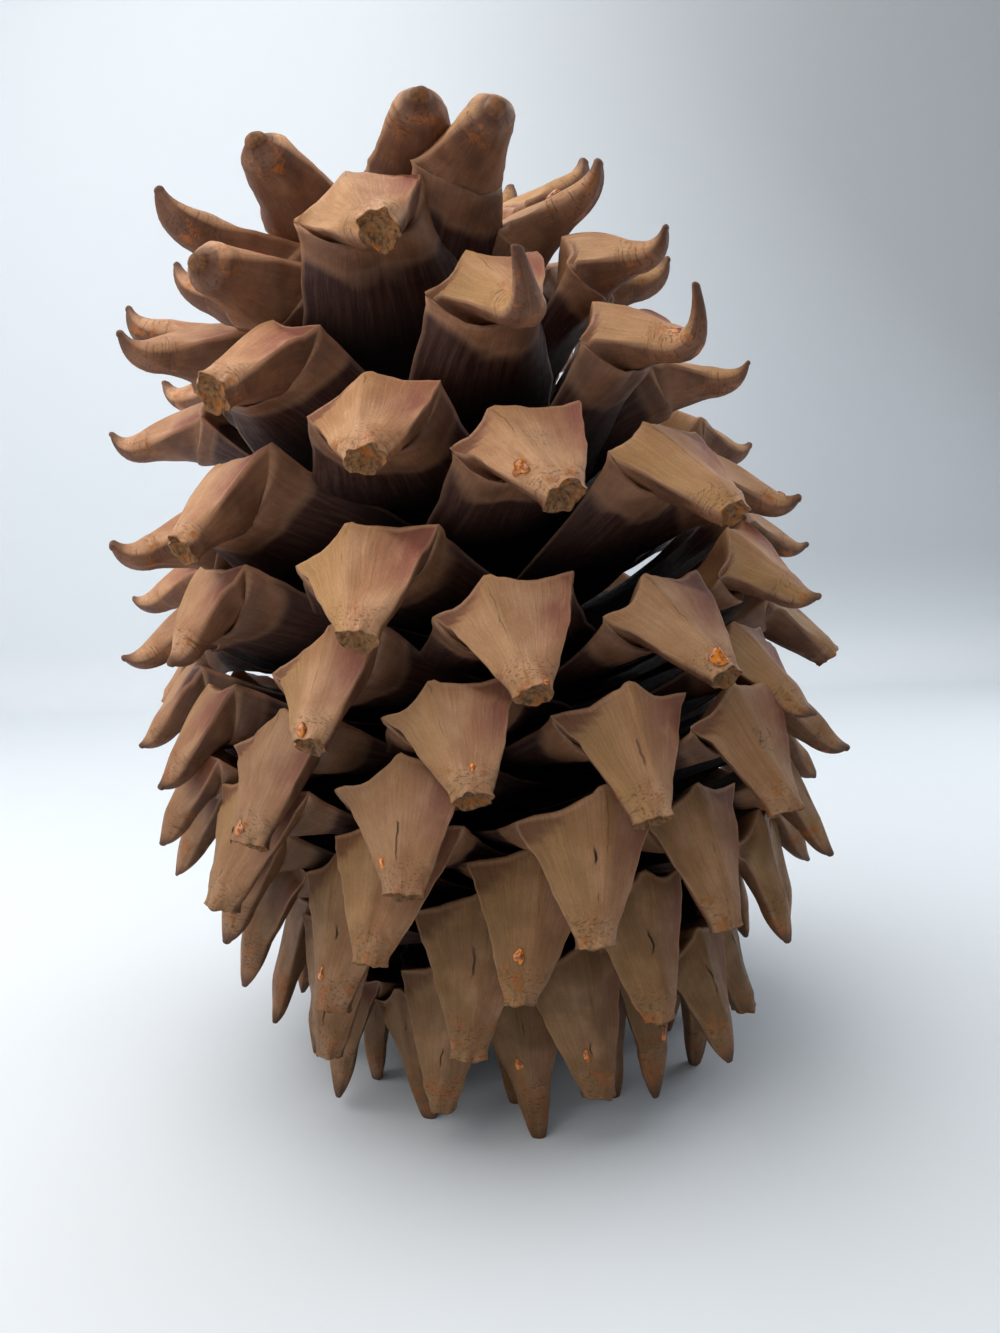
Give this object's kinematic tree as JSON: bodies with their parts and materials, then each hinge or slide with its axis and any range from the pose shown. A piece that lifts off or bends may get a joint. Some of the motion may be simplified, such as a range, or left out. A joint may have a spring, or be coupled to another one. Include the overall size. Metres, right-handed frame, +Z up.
{
  "type": "pine cone",
  "caption": "Large open pine cone with thick keeled woody scales ending in hooked or worn claws, standing upright on its base spurs.",
  "frame": {"origin": "centre of the bounding box, on the ground plane under the base spurs", "axes": "+Z up along the cone from base to tip, -Y towards the side that faces the viewer"},
  "size_m": [0.1788, 0.1742, 0.2246],
  "materials": {
    "cone_wood": "matte"
  },
  "bodies": {
    "root": {"pine_cone": "cone_wood"}
  },
  "joints": []
}
